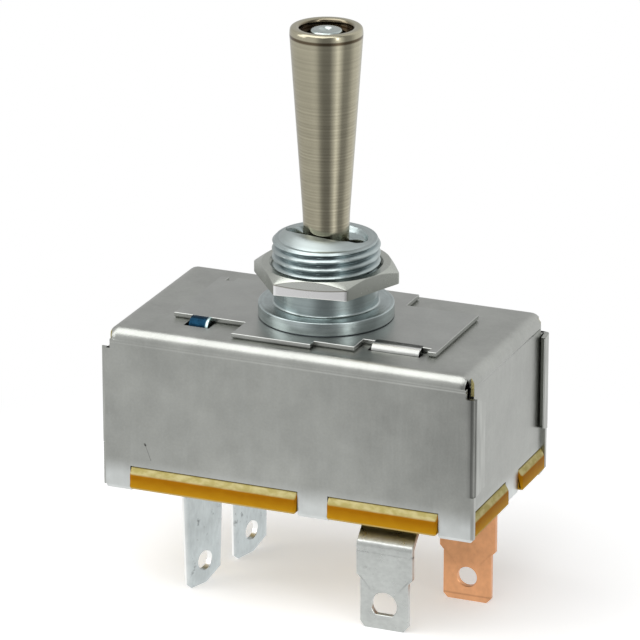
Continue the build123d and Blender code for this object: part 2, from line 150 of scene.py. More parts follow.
class Paint(Nodes):
    # One material and its surface shader
    def __init__(self, name, **constants):
        self.material = bpy.data.materials.new(name)
        self.material.use_nodes = True
        super().__init__(self.material.node_tree)
        self.shader = self.tree.nodes["Principled BSDF"]
        for socket, value in constants.items():
            self.shader.inputs[socket.replace("_", " ")].default_value = value

    def place(self, stretch=(1.0, 1.0, 1.0)):
        # Object coordinates in millimetres, stretched
        here = self.node("ShaderNodeTexCoord", output="Object")
        return self.node("ShaderNodeMapping", None, {"Vector": here, "Scale": tuple(s / mm for s in stretch)})

    def height(self):
        return self.axes(self.place())[2]

    def noise(self, size, stretch=(1.0, 1.0, 1.0), detail=3.0, rough=0.5, vector=None):
        # Noise from about 0.3 to 0.7, its grains about size millimetres across
        vector = vector or self.place(stretch)
        return self.node("ShaderNodeTexNoise", None, {"Vector": vector, "Scale": 1.0 / size,
                                                      "Detail": detail, "Roughness": rough})

    def rings(self, size):
        # Noise of the distance from the Z axis and the height alone, so that it runs in turned rings
        section = self.node("ShaderNodeCombineXYZ", None, {"X": self.fromAxis(), "Z": self.height()})
        return self.noise(size, detail=4.0, rough=0.6, vector=section)

    def fromAxis(self):
        # The distance from the Z axis
        x, y, z = self.axes(self.place())
        return (x * x + y * y) ** 0.5

    def facing(self):
        # The three parts of the surface normal
        return self.axes(self.node("ShaderNodeNewGeometry", output="Normal"))

    def shades(self, amount, colour, spread):
        # A colour that goes darker and lighter round its middle as amount goes from 0 to 1
        return self.mix(amount, tuple(c * (1 - spread) for c in colour),
                        tuple(min(1.0, c * (1 + spread)) for c in colour))

    def colour(self, value):
        self.feed(self.shader.inputs["Base Color"], value)

    def roughness(self, value):
        self.feed(self.shader.inputs["Roughness"], value)

    def relief(self, height, depth):
        # Bumps as deep as depth in millimetres, where height goes from 0 to 1
        bump = self.node("ShaderNodeBump", None, {"Height": height, "Distance": depth * mm, "Strength": 1.0})
        self.feed(self.shader.inputs["Normal"], bump)


# Surfaces

def circle(turns):
    # Even angles once round
    return np.arange(turns) * 2 * math.pi / turns


def curve(start, corner, end, t):
    # A quadratic curve from start to end that is drawn towards a corner
    return (1 - t) ** 2 * start + 2 * t * (1 - t) * corner + t ** 2 * end


def merged(*parts):
    # All values once, in order
    return np.unique(np.round(np.concatenate(parts), 4))


def halfway(values):
    # The middles between neighbours
    return (values[1:] + values[:-1]) / 2


def between(values, low, high):
    return (values > low) & (values < high)


def gridQuads(shape, wrapRows=False, wrapCols=False, keep=None):
    # Four point numbers for each kept cell of a grid of points
    rows, cols = shape[:2]
    keep = np.ones((rows - (not wrapRows), cols - (not wrapCols)), bool) if keep is None else keep
    i, j = np.nonzero(keep)
    down, across = (i + 1) % rows, (j + 1) % cols
    return np.stack([i * cols + j, down * cols + j, down * cols + across, i * cols + across], axis=-1)


def sheetShell(outer, inner, keep=None):
    # A closed sheet: the outer grid, the inner grid turned over, and a wall wherever kept cells end
    rows, cols = outer.shape[:2]
    keep = np.ones((rows - 1, cols - 1), bool) if keep is None else keep
    count = rows * cols
    front = gridQuads(outer.shape, keep=keep)
    faces = [front, front[:, ::-1] + count]
    padded = np.pad(keep, 1)
    i, j = np.nonzero(keep)
    sides = (((0, -1), (0, 0), (1, 0)), ((1, 0), (1, 0), (1, 1)),
             ((0, 1), (1, 1), (0, 1)), ((-1, 0), (0, 1), (0, 0)))
    for (stepI, stepJ), (fromI, fromJ), (toI, toJ) in sides:
        bare = ~padded[i + 1 + stepI, j + 1 + stepJ]
        start = (i[bare] + fromI) * cols + j[bare] + fromJ
        end = (i[bare] + toI) * cols + j[bare] + toJ
        faces.append(np.stack([end, start, start + count, end + count], axis=-1))
    points = np.concatenate([outer.reshape(-1, 3), inner.reshape(-1, 3)])
    return points, np.concatenate(faces).tolist()


def tubeShell(grid):
    # A tube whose sections are the rows of a grid, with a face across each end
    rows, cols = grid.shape[:2]
    faces = gridQuads(grid.shape, False, True).tolist()
    faces += [list(range(cols)), list(range(rows * cols - 1, (rows - 1) * cols - 1, -1))]
    return grid.reshape(-1, 3), faces


def turnedGrid(radius, height, turns):
    # A section of (radius, height), given once or for each angle, at even angles about Z
    angle = circle(turns)[:, None]
    return np.stack(np.broadcast_arrays(radius * np.cos(angle), radius * np.sin(angle), height), axis=-1)


def ringShell(radius, height, turns=360):
    # A ring whose section is a closed loop of (radius, height)
    grid = turnedGrid(radius, height, turns)
    return grid.reshape(-1, 3), gridQuads(grid.shape, True, True).tolist()


def turnedShell(profile, turns=160):
    # A solid turned about Z from a profile that starts and ends on the axis
    grid = turnedGrid(*profile[1:-1].T, turns)
    steps = grid.shape[1]
    first = np.arange(turns) * steps
    ahead, low = np.roll(first, -1), np.full(turns, turns * steps)
    faces = gridQuads(grid.shape, True).tolist()
    faces += np.stack([ahead, first, low], axis=-1).tolist()
    faces += np.stack([first + steps - 1, ahead + steps - 1, low + 1], axis=-1).tolist()
    poles = np.column_stack([np.zeros((2, 2)), profile[[0, -1], 1]])
    return np.concatenate([grid.reshape(-1, 3), poles]), faces


def roundCorners(points, radii, steps=5):
    # Each corner of a line of points becomes a quadratic curve that starts and ends a radius away from it
    points = np.asarray(points, float)
    t = np.linspace(0, 1, steps)[:, None]
    out = []
    for n, (corner, radius) in enumerate(zip(points, radii)):
        if not radius:
            out.append(corner[None])
            continue
        back, ahead = points[n - 1] - corner, points[n + 1] - corner
        reach = min(radius, 0.49 * np.linalg.norm(back), 0.49 * np.linalg.norm(ahead))
        start = corner + back / np.linalg.norm(back) * reach
        end = corner + ahead / np.linalg.norm(ahead) * reach
        out.append(curve(start, corner, end, t))
    return np.concatenate(out)


def inset(outline, distance):
    # A closed outline moved inwards, each corner along its mitre
    edge = np.roll(outline, -1, axis=0) - outline
    edge /= np.linalg.norm(edge, axis=1, keepdims=True)
    left = np.stack([-edge[:, 1], edge[:, 0]], axis=-1)
    before = np.roll(left, 1, axis=0)
    mitre = left + before
    mitre /= 1 + np.sum(left * before, axis=1, keepdims=True)
    return outline + mitre * distance


def slabShell(outline, low, high, edge, underEdge=None, hole=0.0):
    # A flat plate: a counter-clockwise outline between two levels, with its edges broken; round a hole in
    # its middle each face is two halves, which meet along lines from the outline's start and half-way point
    outline = np.asarray(outline, float)
    under = edge if underEdge is None else underEdge
    layers = [(inset(outline, under), low), (outline, low + under), (outline, high - edge),
              (inset(outline, edge), high)]
    grid = np.stack([np.column_stack([flat, np.full(len(flat), level)]) for flat, level in layers], axis=1)
    rows, cols = grid.shape[:2]
    faces = gridQuads(grid.shape, True).tolist()
    ring = np.arange(rows) * cols
    points = grid.reshape(-1, 3)
    if not hole:
        return points, faces + [ring[::-1].tolist(), (ring + cols - 1).tolist()]
    turns, half = 64, rows // 2
    angle = math.atan2(outline[0, 1], outline[0, 0]) + circle(turns)
    rim = hole * np.column_stack([np.cos(angle), np.sin(angle)])
    around = [np.column_stack([rim, np.full(turns, level)]) for level in (low, high)]
    lower = len(points) + np.arange(turns)
    upper = lower + turns
    faces += np.stack([lower, upper, np.roll(upper, -1), np.roll(lower, -1)], axis=-1).tolist()
    for start in (0, 1):
        outer = (ring[(np.arange(half + 1) + start * half) % rows]).tolist()
        inner = (np.arange(turns // 2, -1, -1) + start * turns // 2) % turns
        faces.append([v + cols - 1 for v in outer] + upper[inner].tolist())
        faces.append((outer + lower[inner].tolist())[::-1])
    return np.concatenate([points] + around), faces


def barShell(path, low, high, thick, edge):
    # A flat bar between two places on x, bent along a path in (y, z): its section, with broken edges, is
    # carried along the path
    path = np.asarray(path, float)
    along = np.gradient(path, axis=0)
    along /= np.linalg.norm(along, axis=1, keepdims=True)
    normal = np.stack([-along[:, 1], along[:, 0]], axis=-1)
    t = thick / 2
    section = np.array([(low, edge - t), (low + edge, -t), (high - edge, -t), (high, edge - t),
                        (high, t - edge), (high - edge, t), (low + edge, t), (low, t - edge)])
    flat = path[:, None, :] + normal[:, None, :] * section[None, :, 1:]
    across = np.broadcast_to(section[:, 0], flat.shape[:2])
    return tubeShell(np.concatenate([across[..., None], flat], axis=-1))


def moved(shell, at=(0, 0, 0), turn=0.0):
    # A shell turned about Z, then moved
    points, faces = shell
    c, s = math.cos(math.radians(turn)), math.sin(math.radians(turn))
    turned = points @ np.array([[c, s, 0], [-s, c, 0], [0, 0, 1]])
    return turned + np.asarray(at, float), faces


def bothWays(shells):
    # The shells, and again half a turn round
    return shells + [moved(shell, turn=180) for shell in shells]


def added(name, data, place=None, ahead=None):
    # A new object in the scene, at the origin or at a place from which it looks ahead
    made = bpy.data.objects.new(name, data)
    if place is not None:
        made.location = place
        made.rotation_euler = ahead.to_track_quat("-Z", "Y").to_euler()
    bpy.context.scene.collection.objects.link(made)
    return made


def makePiece(name, body, nodes, shells, paint, crease=32.0):
    # Joins closed shells into one piece, each turned outwards by the sign of its volume
    points, faces, shift = [], [], 0
    for shellPoints, shellFaces in shells:
        fans = [(f[0], f[k], f[k + 1]) for f in shellFaces for k in range(1, len(f) - 1)]
        a, b, c = shellPoints[np.array(fans)].transpose(1, 0, 2)
        outwards = np.einsum("ij,ij->", a, np.cross(b, c)) > 0
        faces += [[v + shift for v in (f if outwards else f[::-1])] for f in shellFaces]
        points.append(shellPoints)
        shift += len(shellPoints)
    mesh = bpy.data.meshes.new(name)
    mesh.from_pydata((np.concatenate(points) * mm).tolist(), [], faces)
    mesh.shade_smooth()
    mesh.set_sharp_from_angle(angle=math.radians(crease))
    mesh.materials.append(paint.material)
    piece = added(name, mesh)
    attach(piece, body)
    if nodes:
        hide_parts(*nodes)
    print(name, len(faces), "faces")


# Sizes of the case, in millimetres

case = {"endFace": 24.15, "halfLength": 24.9, "halfWidth": 13.2, "top": -2.45, "bottom": -23.3,
        "sheet": 0.6, "fold": 1.5, "corner": (1.15, 0.7), "boardTop": -20.45, "reliefX": 23.6,
        "reliefTop": -2.95, "earTop": -5.15, "earBottom": -17.8, "earTuck": 0.4, "earLip": 0.18,
        "frontEar": (3.6, 1.4), "backEar": (2.0, 0.3), "endSpan": (-11.8, 13.1), "stubs": (-24.6, 24.8),
        "lugs": ((-24.9, -21.0), (1.6, 5.6), (20.2, 24.9)), "endLug": (-0.3, 4.2),
        "clinch": 1.6, "endClinch": 1.0, "clinchSpan": (-24.3, 24.3), "clinchBend": 0.45,
        "clinchCentre": (0.75, 0.15), "clinchEdge": 0.05, "middleHole": 4.6,
        "flangeSlot": ((8.9, 15.8), (-8.45, -7.15)), "tongueSlot": ((-15.5, -12.1), (-8.8, -6.4)),
        "backSlots": (((-15.8, -8.9), (7.15, 8.45)), ((12.1, 15.5), (5.7, 7.0)))}

# Materials

finishes = {
    "case": {"colour": (0.42, 0.43, 0.405), "rough": 0.33, "spread": 0.5, "mottle": 0.5, "cloud": 5.0,
             "grain": 0.3, "streak": 0.8, "low": (-19.2, -22.4), "lowColour": (0.74, 0.77, 0.76),
             "lowShare": 0.8, "ridge": -4.15, "ridgeHalf": 0.3, "ridgeHeight": 0.06, "ear": (24.3, 24.5),
             "earHighlight": 1.12, "bend": (24.15, 24.35), "bendEnd": (24.88, 24.82), "bendDarkReflection": 0.5,
             "scratch": (-18.9, -17.4), "scratchEnd": -19.4, "scratchLean": 0.38, "scratchHalf": 0.045,
             "dotHalf": 0.13, "dot": (-0.1, 0.25), "scratchAndReflectionColour": (0.05, 0.05, 0.045),
             "cutX": (23.72, 24.13), "cutY": (11.6, 11.72), "cutFrom": -5.3, "cutColour": (0.46, 0.40, 0.17)},
    "plate": {"colour": (0.43, 0.44, 0.42), "rough": 0.32, "spread": 0.5, "mottle": 0.45, "cloud": 5.0,
              "grain": 0.3, "relief": 0.010, "contactShade": (-2.1, -2.4), "contactShadeShare": 0.7,
              "contactShadeColour": (0.03, 0.03, 0.035), "upright": (0.3, 0.1), "lean": (0.03, 0.15),
              "leanEnd": (0.6, 0.35), "leanHighlightShare": 0.8, "leanHighlightColour": (0.95, 0.95, 0.93)},
    "tongue": {"colour": (0.007, 0.032, 0.062), "rough": 0.25, "spread": 0.8, "mottle": 1.0, "cloud": 0.9,
               "grain": 0.3, "relief": 0.03, "tongueHighlightEdge": (13.05, 12.75), "tongueHighlightColour": (0.62, 0.80, 0.80)},
    "bushing": {"colour": (0.42, 0.48, 0.48), "rough": 0.27, "ring": 0.35, "relief": 0.012, "stain": 0.6,
                "thread": (2.5, 2.8), "threadEnd": 8.1, "root": (6.1, 6.2), "valley": (6.62, 6.3),
                "valleyShadeShare": 0.8, "valleyShadeColour": (0.15, 0.20, 0.21), "seam": (-1.58, -1.68),
                "seamShadeShare": 0.85, "seamShadeColour": (0.03, 0.04, 0.06), "shank": (0.1, 0.4),
                "shankRadius": (6.9, 6.6), "shankShadeShare": 0.35, "shankShadeColour": (0.2, 0.26, 0.26),
                "dome": (8.2, 8.7), "domeRough": 0.2, "domeShadeShare": 0.7, "domeShadeColour": (0.38, 0.42, 0.41),
                "inward": (0.3, 0.8), "mouth": (4.4, 3.6), "insideShadeColour": (0.03, 0.035, 0.03)},
    "nut": {"colour": (0.46, 0.48, 0.44), "rough": 0.26, "spread": 0.5, "mottle": 0.25, "cloud": 2.5,
            "grain": 0.5, "relief": 0.002, "front": (0.8, 0.95), "frontReflectionColour": (0.70, 0.72, 0.68),
            "band": (3.85, 4.05), "bandReflectionColour": (1.0, 1.0, 1.0), "flatTurn": 8.0, "bowLow": 0.016,
            "bowHigh": 0.0357, "chamferLine": 5.12, "lineHalf": 0.1, "bandShare": 0.8, "chamferShare": 0.5,
            "lineReflectionColour": (0.24, 0.21, 0.17)},
    "sleeve": {"colour": (0.46, 0.43, 0.32), "rough": 0.17, "ring": 0.35, "relief": 0.004, "stain": 0.15,
               "wave": 0.42, "waveDrift": 6.0, "waveDepth": 0.28, "waveFade": (32.0, 22.0),
               "ringsAndShadeColour": (0.075, 0.045, 0.02), "lipLine": 34.4, "lipHalf": 0.3, "lipCore": 0.09,
               "lipShadeShare": 0.85, "recessFrom": 34.2, "recess": (3.65, 3.15)},
    "rod": {"colour": (0.50, 0.56, 0.54), "rough": 0.22, "ring": 0.3, "relief": 0.002, "stain": 0.3},
    "frontBlade": {"colour": (0.53, 0.55, 0.53), "rough": 0.3, "brush": (0.9, 0.9, 1.3), "line": 0.0,
                   "edgeHighlight": 0.0, "stains": 0.25, "cloud": 0.3, "footShade": 0.6},
    "leftBlades": {"colour": (0.535, 0.58, 0.58), "rough": 0.33, "brush": (1.2, 1.2, 0.5), "line": 0.0,
                   "edgeHighlight": 1.0, "stains": 0.7, "cloud": 0.5, "footShade": 0.0},
    "copper": {"colour": (0.72, 0.345, 0.17), "rough": 0.32, "brush": (0.8, 0.8, 0.6), "line": 1.0,
               "edgeHighlight": 0.0, "stains": 0.15, "cloud": 0.35, "footShade": 0.0},
    "blade": {"lineHeight": -36.5, "lineHalf": 0.2, "relief": 0.02, "spots": (0.6, 0.72),
              "edgeFacing": (-0.309, -0.951), "edge": (0.15, 0.7), "edgeHighlightColour": (0.98, 0.98, 0.96),
              "foot": (-25.7, -24.9), "footShadeColour": (0.16, 0.14, 0.07)},
    "board": {"high": (0.40, 0.155, 0.002), "low": (0.58, 0.29, 0.009), "fade": (-21.5, -23.2),
              "chamfer": (0.2, 0.45), "chamferHighlight": (0.50, 0.42, 0.15), "chamferHighlightLight": (0.66, 0.58, 0.28),
              "rim": (-20.66, -20.51), "rimShadeColour": (0.17, 0.13, 0.035), "edge": (-23.0, -23.16),
              "edgeHighlightColour": (0.62, 0.45, 0.15), "fibre": 0.9, "relief": 0.02},
}


def clouded(paint, v):
    # A cloudy noise and a faint fine one, added, change the colour; the roughness follows the cloud
    cloud = paint.noise(v["cloud"], detail=4.0, rough=0.6)
    fine = paint.noise(v["grain"])
    paint.roughness(v["rough"] + (cloud - 0.5) * 0.15)
    amount = 0.5 + (cloud - 0.5 + (fine - 0.5) * 0.35) * v["mottle"]
    return paint.shades(amount, v["colour"], v["spread"]), fine


def ringed(paint, v):
    # Turned rings and a cloudy noise, added, change the colour; the roughness follows the cloud
    rings = paint.rings(v["ring"])
    cloud = paint.noise(2.5)
    paint.roughness(v["rough"] + (cloud - 0.5) * 0.15)
    paint.relief(rings, v["relief"])
    return paint.shades(0.5 + (rings - 0.5) * 0.7 + (cloud - 0.5) * v["stain"], v["colour"], 0.45)


def caseFinish():
    # The clouded finish with noise stretched to upright streaks, lighter towards the lower edge, with a
    # painted highlight that makes the ears lighter and a painted dark reflection along two ears' bends, a low
    # ridge under the fold, one scratch, and bare cut edges in the corner notches
    v = finishes["case"]
    paint = Paint("satin zinc of the case")
    x, y, z = paint.axes(paint.place())
    body, fine = clouded(paint, v)
    streak = paint.noise(v["streak"], stretch=(1.0, 1.0, 0.12))
    blotch = paint.noise(1.6, detail=4.0)
    low = z.smooth(*v["low"]) * v["lowShare"] * (0.6 + blotch * 0.8)
    body = paint.mix(low + (streak - 0.5) * 0.2, body, v["lowColour"])
    # Painted highlight: a lighter copy of the case's colour on the ears, as if they caught more light
    earHighlightColour = tuple(c * v["earHighlight"] for c in v["colour"])
    ear = paint.shades(0.5 + (streak - 0.5) * 0.8, earHighlightColour, v["spread"])
    body = paint.mix(x.size().smooth(*v["ear"]), body, ear)
    # Painted dark reflection along the bends of the front-right and back-left ears, in the scratch's dark
    # colour
    bend = x.size().smooth(*v["bend"]) * x.size().smooth(*v["bendEnd"]) * v["bendDarkReflection"]
    bend = bend * (x * y < 0.0) * (z > case["earBottom"])
    body = paint.mix(bend, body, v["scratchAndReflectionColour"])
    across, top = v["scratch"]
    away = (x - across + (z - top) * v["scratchLean"]).size()
    line = (away < v["scratchHalf"]) * z.within(v["scratchEnd"], top)
    dot = (away < v["dotHalf"]) * (z - top).within(*v["dot"])
    body = paint.mix((line * 0.45 + dot * 0.8) * (y < 0.0), body, v["scratchAndReflectionColour"])
    cut = x.size().within(*v["cutX"]) * y.size().within(*v["cutY"]) * (z > v["cutFrom"])
    paint.colour(paint.mix(cut, body, v["cutColour"]))
    paint.feed(paint.shader.inputs["Metallic"], 1.0 - cut)
    paint.relief(z.near(v["ridge"], v["ridgeHalf"]) + (fine + streak * 2.0) * 0.12, v["ridgeHeight"])
    return paint


def plateFinish():
    # The clouded finish, with painted shade along the lower part of the sheet's upright edges, next to the
    # case top, and a painted highlight where the flange starts to lean forward
    v = finishes["plate"]
    paint = Paint("satin zinc of the plate", Metallic=1.0)
    body, fine = clouded(paint, v)
    nx, ny, nz = paint.facing()
    # Painted highlight where the flange's bend leans forward
    lean = (-ny).smooth(*v["lean"]) * (-ny).smooth(*v["leanEnd"])
    body = paint.mix(lean * v["leanHighlightShare"], body, v["leanHighlightColour"])
    # Painted shade low on the sheet's upright edges, next to the case top
    contactShade = nz.size().smooth(*v["upright"]) * paint.height().smooth(*v["contactShade"]) * v["contactShadeShare"]
    paint.colour(paint.mix(contactShade, body, v["contactShadeColour"]))
    paint.relief(fine, v["relief"])
    return paint


def tongueFinish():
    # The clouded finish in dark blue, with a painted highlight along the edge on the side towards the bushing
    v = finishes["tongue"]
    paint = Paint("blued tongue", Metallic=1.0)
    body, fine = clouded(paint, v)
    across = paint.axes(paint.place())[0].size()
    # Painted highlight along the edge towards the bushing
    paint.colour(paint.mix(across.smooth(*v["tongueHighlightEdge"]), body, v["tongueHighlightColour"]))
    paint.relief(fine, v["relief"])
    return paint


def bushingFinish():
    # The ringed finish, with painted shade in the valleys of the thread, on the shank between collar and nut
    # and on the dome, a painted shadow in the seam round the collar's foot and painted shade on the walls in
    # the slot
    v = finishes["bushing"]
    paint = Paint("bluish zinc of the bushing", Metallic=1.0)
    body = ringed(paint, v)
    x, y, height = paint.axes(paint.place())
    nx, ny, nz = paint.facing()
    radius = paint.fromAxis()
    # Painted shade in the thread's valleys
    valley = radius.smooth(*v["valley"]) * radius.smooth(*v["root"])
    valley = valley * height.smooth(*v["thread"]) * (height < v["threadEnd"])
    body = paint.mix(valley * v["valleyShadeShare"], body, v["valleyShadeColour"])
    # Painted shadow in the seam between the collar's foot and the plate
    seam = height.smooth(*v["seam"]) * (height > v["seam"][1] - 0.2)
    body = paint.mix(seam * v["seamShadeShare"], body, v["seamShadeColour"])
    # Painted shade on the shank between the collar and the nut
    shank = height.smooth(*v["shank"]) * (height < v["thread"][1]) * radius.smooth(*v["shankRadius"])
    body = paint.mix(shank * v["shankShadeShare"], body, v["shankShadeColour"])
    # Painted shade that tones down the dome's reflection
    dome = height.smooth(*v["dome"])
    body = paint.mix(dome * v["domeShadeShare"], body, v["domeShadeColour"])
    paint.roughness(v["rough"] + dome * v["domeRough"])
    # Painted shade on the inward-facing walls of the slot
    inward = ((x * nx + y * ny) / -radius).smooth(*v["inward"]) * radius.smooth(*v["mouth"])
    paint.colour(paint.mix(inward, body, v["insideShadeColour"]))
    return paint


def nutFinish():
    # The clouded finish; the flat towards the front has a lighter painted reflection, and lighter again below
    # a dark painted reflection line that bows down to the middle of the flat. A second such painted line bows
    # up along the chamfer. Each lies at a fixed height plus or less a share of the squared distance along the
    # flat.
    v = finishes["nut"]
    paint = Paint("warm zinc of the nut", Metallic=1.0)
    body, fine = clouded(paint, v)
    x, y, height = paint.axes(paint.place())
    turn = math.radians(v["flatTurn"])
    along = x * math.cos(turn) + y * math.sin(turn)
    low, high = height - along * along * v["bowLow"], height + along * along * v["bowHigh"]
    # Painted reflections on the front flat: a light band below a dark bowed line, and a dark line along the
    # chamfer
    side = paint.mix(low.smooth(*v["band"]), v["bandReflectionColour"], v["frontReflectionColour"])
    line = low.near(v["band"][1], v["lineHalf"]) * v["bandShare"]
    line = line + high.near(v["chamferLine"], v["lineHalf"]) * v["chamferShare"]
    front = (-paint.facing()[1]).smooth(*v["front"])
    paint.colour(paint.mix(front, body, paint.mix(line, side, v["lineReflectionColour"])))
    paint.relief(fine, v["relief"])
    return paint


def sleeveFinish():
    # The ringed finish, with fine even waves below, whose place drifts with the rings; painted shade under
    # the lip and in the recess
    v = finishes["sleeve"]
    paint = Paint("turned nickel", Metallic=1.0)
    body = ringed(paint, v)
    height = paint.height()
    phase = height * (2 * math.pi / v["wave"]) + paint.rings(3.0) * v["waveDrift"]
    wave = (phase.math("SINE", phase) * 0.5 + 0.5) * height.smooth(*v["waveFade"]) * paint.noise(1.0)
    body = paint.mix(wave * v["waveDepth"], body, v["ringsAndShadeColour"])
    # Painted shade under the lip and in the recess
    line = height.near(v["lipLine"], v["lipHalf"], v["lipCore"]) * v["lipShadeShare"]
    recess = paint.fromAxis().smooth(*v["recess"]) * (height > v["recessFrom"])
    paint.colour(paint.mix(line + recess, body, v["ringsAndShadeColour"]))
    return paint


def bladeFinish(name, v):
    # Brushed tin or copper: a stretched noise, stains and clouds, a coined line above the tip, painted shade
    # on the foot, and a painted highlight along the edge where the sheet's rim shows
    paint = Paint(name, Metallic=1.0)
    b = finishes["blade"]
    height = paint.height()
    brushed = paint.noise(0.5, stretch=v["brush"], detail=4.0)
    stain = paint.noise(1.3, detail=4.0, rough=0.65)
    cloud = paint.noise(3.0)
    amount = 0.5 + (brushed - 0.5) * 0.35 + (stain - 0.5) * 0.2 + (cloud - 0.5) * v["cloud"]
    line = height.near(b["lineHeight"], b["lineHalf"]) * v["line"]
    body = paint.mix(line * 0.35 + stain.smooth(*b["spots"]) * v["stains"],
                     paint.shades(amount, v["colour"], 0.45), tuple(c * 0.3 for c in v["colour"]))
    # Painted shade on the foot, under the board
    body = paint.mix(height.smooth(*b["foot"]) * v["footShade"], body, b["footShadeColour"])
    nx, ny, nz = paint.facing()
    # Painted highlight along the edge that faces front-left, where the sheet's rim shows
    edge = (nx * b["edgeFacing"][0] + ny * b["edgeFacing"][1]).smooth(*b["edge"]) * v["edgeHighlight"]
    paint.colour(paint.mix(edge, body, b["edgeHighlightColour"]))
    paint.roughness(v["rough"] + (stain - 0.5) * 0.2)
    paint.relief(brushed * 0.3 - line, b["relief"])
    return paint


def boardFinish():
    # Amber sheet with a stretched noise for its fibres, paler downwards: the upward-facing chamfer has a
    # painted cream highlight with a painted olive shade along its rim by the case, and a painted highlight
    # along the lowest edge
    v = finishes["board"]
    paint = Paint("amber sheet", Roughness=0.5, Specular_IOR_Level=0.04)
    height = paint.height()
    fibre = paint.noise(v["fibre"], stretch=(0.6, 0.6, 1.2))
    amber = paint.mix(height.smooth(*v["fade"]) + (fibre - 0.5) * 0.5, v["high"], v["low"])
    # Painted highlight: the upward-facing chamfer is cream
    chamferHighlight = paint.mix(fibre.smooth(0.35, 0.65), v["chamferHighlight"], v["chamferHighlightLight"])
    # Painted shade along the chamfer's rim by the case
    chamferHighlight = paint.mix(height.smooth(*v["rim"]), chamferHighlight, v["rimShadeColour"])
    body = paint.mix(paint.facing()[2].smooth(*v["chamfer"]), amber, chamferHighlight)
    # Painted highlight along the lowest edge
    paint.colour(paint.mix(height.smooth(*v["edge"]), body, v["edgeHighlightColour"]))
    paint.relief(fibre, v["relief"])
    return paint


def rodFinish():
    # The ringed finish alone
    paint = Paint("steel of the rod", Metallic=1.0)
    paint.colour(ringed(paint, finishes["rod"]))
    return paint


caseZinc = caseFinish()
plateZinc = plateFinish()
tongueBlue = tongueFinish()
bushingZinc = bushingFinish()
nutZinc = nutFinish()
nickel = sleeveFinish()
rodSteel = rodFinish()
tinGrey = bladeFinish("grey tin of the front blade", finishes["frontBlade"])
tinPale = bladeFinish("pale tin of the left blades", finishes["leftBlades"])
copper = bladeFinish("copper of the blade", finishes["copper"])
boardAmber = boardFinish()
print("materials made")

# Case

def caseTop():
    # A flat sheet whose four edges follow a quarter circle down: a point is the nearest point of an
    # inner rectangle plus the fold's radius along a unit normal that leans out at the edges
    fold, sheet = case["fold"], case["sheet"]
    lean = np.radians(np.linspace(90, 0, 11))

    def lines(flat, breaks):
        inner = merged(np.linspace(-flat, flat, 25), breaks)
        place = np.concatenate([np.full(10, -flat), inner, np.full(10, flat)])
        tilt = np.concatenate([-lean[:-1], np.zeros(len(inner)), lean[::-1][1:]])
        return place, tilt

    holes = [case["flangeSlot"], case["tongueSlot"], *case["backSlots"],
             ((-case["middleHole"], case["middleHole"]),) * 2]
    placeX, tiltX = lines(case["endFace"] - fold, [v for x, y in holes for v in x])
    placeY, tiltY = lines(case["halfWidth"] - fold, [v for x, y in holes for v in y])
    tx, ty = np.meshgrid(tiltX, tiltY, indexing="ij")
    px, py = np.meshgrid(placeX, placeY, indexing="ij")
    normal = np.stack([np.sin(tx), np.sin(ty), np.cos(tx) * np.cos(ty)], axis=-1)
    normal /= np.linalg.norm(normal, axis=-1, keepdims=True)
    base = np.stack([px, py, np.full_like(px, case["top"] - fold)], axis=-1)
    outer = base + fold * normal
    level = (outer[1:, 1:, 2] + outer[:-1, :-1, 2]) / 2
    outX = halfway(np.abs(placeX + fold * np.sin(tiltX)))
    relief = (outX > case["reliefX"])[:, None] & (np.abs(halfway(tiltY)) > 0.005)[None, :]
    keep = ~(relief & (level < case["reliefTop"]))
    for x, y in holes:
        keep &= ~(between(halfway(placeX), *x)[:, None] & between(halfway(placeY), *y)[None, :])
    return sheetShell(outer, base + (fold - sheet) * normal, keep)


